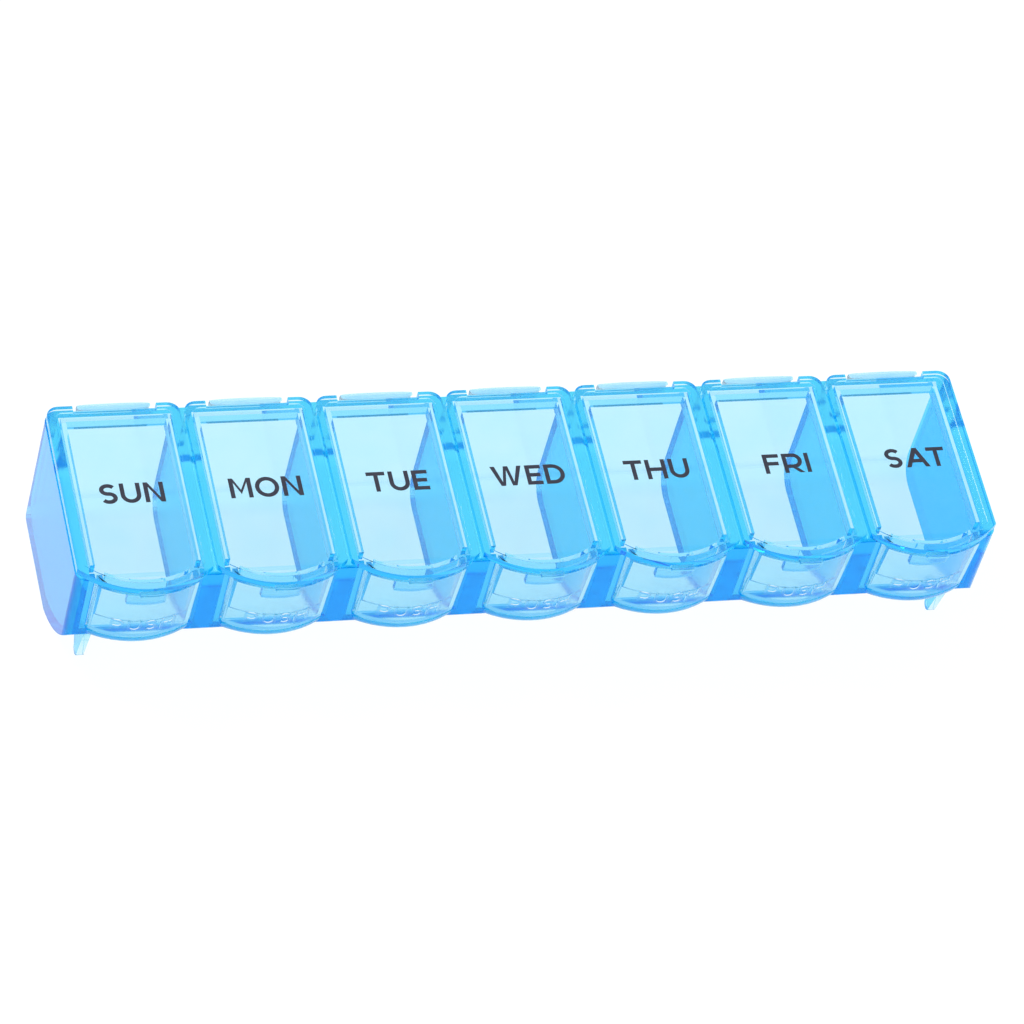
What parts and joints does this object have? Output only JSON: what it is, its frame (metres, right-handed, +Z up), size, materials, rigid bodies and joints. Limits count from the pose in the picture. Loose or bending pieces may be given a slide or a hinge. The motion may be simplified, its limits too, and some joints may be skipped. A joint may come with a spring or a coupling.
{
  "type": "weekly pill organizer",
  "caption": "Long translucent blue pill box with a row of pockets, each with its own hinged lid, day name and bowed push panel at the front.",
  "frame": {"origin": "centre of the bounding box's base, on the surface the organizer stands on", "axes": "+X along the row towards the saturday pocket, -Y towards the push panels, +Z up through the lids"},
  "size_m": [0.155, 0.0392, 0.0266],
  "materials": {
    "tray_blue": "glossy translucent polypropylene, deep where it is thick",
    "lid_blue": "glossy translucent polypropylene",
    "hinge_blue": "thin, stress-paled living hinge web",
    "panel_blue": "glossy translucent polypropylene"
  },
  "bodies": {
    "base": {"tray": "tray_blue", "foot_left": "tray_blue", "foot_right": "tray_blue"},
    "lid_body_sun": {"lid_sun": "lid_blue", "hinge_sun": "hinge_blue"},
    "lid_body_mon": {"lid_mon": "lid_blue", "hinge_mon": "hinge_blue"},
    "lid_body_tue": {"lid_tue": "lid_blue", "hinge_tue": "hinge_blue"},
    "lid_body_wed": {"lid_wed": "lid_blue", "hinge_wed": "hinge_blue"},
    "lid_body_thu": {"lid_thu": "lid_blue", "hinge_thu": "hinge_blue"},
    "lid_body_fri": {"lid_fri": "lid_blue", "hinge_fri": "hinge_blue"},
    "lid_body_sat": {"lid_sat": "lid_blue", "hinge_sat": "hinge_blue"},
    "panel_body_sun": {"push_panel_sun": "panel_blue"},
    "panel_body_mon": {"push_panel_mon": "panel_blue"},
    "panel_body_tue": {"push_panel_tue": "panel_blue"},
    "panel_body_wed": {"push_panel_wed": "panel_blue"},
    "panel_body_thu": {"push_panel_thu": "panel_blue"},
    "panel_body_fri": {"push_panel_fri": "panel_blue"},
    "panel_body_sat": {"push_panel_sat": "panel_blue"}
  },
  "joints": [
    {"name": "lid_hinge_sun", "type": "hinge", "parent": "base", "child": "lid_body_sun", "pos_m": [-0.066, 0.0191, 0.0259], "axis": [-1, 0, 0], "range_deg": [0, 135]},
    {"name": "lid_hinge_mon", "type": "hinge", "parent": "base", "child": "lid_body_mon", "pos_m": [-0.044, 0.0191, 0.0259], "axis": [-1, 0, 0], "range_deg": [0, 135]},
    {"name": "lid_hinge_tue", "type": "hinge", "parent": "base", "child": "lid_body_tue", "pos_m": [-0.022, 0.0191, 0.0259], "axis": [-1, 0, 0], "range_deg": [0, 135]},
    {"name": "lid_hinge_wed", "type": "hinge", "parent": "base", "child": "lid_body_wed", "pos_m": [0, 0.0191, 0.0259], "axis": [-1, 0, 0], "range_deg": [0, 135]},
    {"name": "lid_hinge_thu", "type": "hinge", "parent": "base", "child": "lid_body_thu", "pos_m": [0.022, 0.0191, 0.0259], "axis": [-1, 0, 0], "range_deg": [0, 135]},
    {"name": "lid_hinge_fri", "type": "hinge", "parent": "base", "child": "lid_body_fri", "pos_m": [0.044, 0.0191, 0.0259], "axis": [-1, 0, 0], "range_deg": [0, 135]},
    {"name": "lid_hinge_sat", "type": "hinge", "parent": "base", "child": "lid_body_sat", "pos_m": [0.066, 0.0191, 0.0259], "axis": [-1, 0, 0], "range_deg": [0, 135]},
    {"name": "panel_press_sun", "type": "hinge", "parent": "base", "child": "panel_body_sun", "pos_m": [-0.066, -0.0164, 0.0129], "axis": [-1, 0, 0], "range_deg": [0, 3], "stiffness_Nm_per_rad": 0.2},
    {"name": "panel_press_mon", "type": "hinge", "parent": "base", "child": "panel_body_mon", "pos_m": [-0.044, -0.0164, 0.0129], "axis": [-1, 0, 0], "range_deg": [0, 3], "stiffness_Nm_per_rad": 0.2},
    {"name": "panel_press_tue", "type": "hinge", "parent": "base", "child": "panel_body_tue", "pos_m": [-0.022, -0.0164, 0.0129], "axis": [-1, 0, 0], "range_deg": [0, 3], "stiffness_Nm_per_rad": 0.2},
    {"name": "panel_press_wed", "type": "hinge", "parent": "base", "child": "panel_body_wed", "pos_m": [0, -0.0164, 0.0129], "axis": [-1, 0, 0], "range_deg": [0, 3], "stiffness_Nm_per_rad": 0.2},
    {"name": "panel_press_thu", "type": "hinge", "parent": "base", "child": "panel_body_thu", "pos_m": [0.022, -0.0164, 0.0129], "axis": [-1, 0, 0], "range_deg": [0, 3], "stiffness_Nm_per_rad": 0.2},
    {"name": "panel_press_fri", "type": "hinge", "parent": "base", "child": "panel_body_fri", "pos_m": [0.044, -0.0164, 0.0129], "axis": [-1, 0, 0], "range_deg": [0, 3], "stiffness_Nm_per_rad": 0.2},
    {"name": "panel_press_sat", "type": "hinge", "parent": "base", "child": "panel_body_sat", "pos_m": [0.066, -0.0164, 0.0129], "axis": [-1, 0, 0], "range_deg": [0, 3], "stiffness_Nm_per_rad": 0.2}
  ]
}
